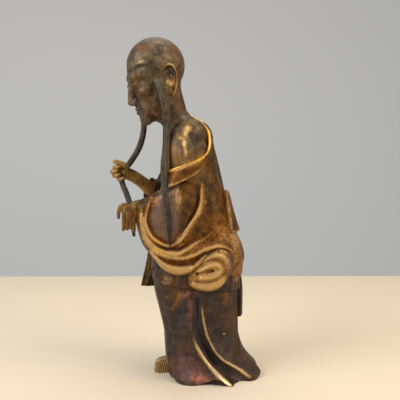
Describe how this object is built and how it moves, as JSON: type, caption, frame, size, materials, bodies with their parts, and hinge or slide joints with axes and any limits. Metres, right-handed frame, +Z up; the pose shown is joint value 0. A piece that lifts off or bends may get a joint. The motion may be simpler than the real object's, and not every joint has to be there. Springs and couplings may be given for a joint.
{
  "type": "standing monk figure",
  "caption": "Hollow cast bronze figure of a standing monk in a draped robe, parcel-gilt and darkly patinated, with brows so long that they hang to the hips and a closed hand round one of them.",
  "frame": {"origin": "on the floor, under the middle of the box that holds the whole figure", "axes": "+Z up along the figure's height; +X towards the figure's left; -Y is the way that the figure faces"},
  "size_m": [0.1158, 0.1548, 0.3484],
  "materials": {
    "dark_bronze": "dark brown patina, half worn",
    "gilt_bronze": "worn fire gilding over brown patina",
    "brow_bronze": "grey-black patina, combed"
  },
  "bodies": {
    "root": {"lower_robe": "dark_bronze", "overskirt": "dark_bronze", "torso": "gilt_bronze", "outer_robe": "gilt_bronze", "head": "dark_bronze", "left_brow": "brow_bronze", "right_brow": "brow_bronze", "left_sleeve": "gilt_bronze", "right_sleeve": "dark_bronze", "right_cuff": "dark_bronze", "left_hand": "gilt_bronze", "right_hand": "gilt_bronze", "hip_swag": "gilt_bronze", "back_robe_end": "gilt_bronze", "back_tail": "dark_bronze", "left_shoe": "gilt_bronze", "right_shoe": "gilt_bronze", "neck_pin": "dark_bronze", "left_wrist_pin": "dark_bronze", "right_wrist_pin": "dark_bronze", "left_waist_pin": "dark_bronze", "right_waist_pin": "dark_bronze", "left_shoe_pin": "dark_bronze", "right_shoe_pin": "dark_bronze"}
  },
  "joints": []
}
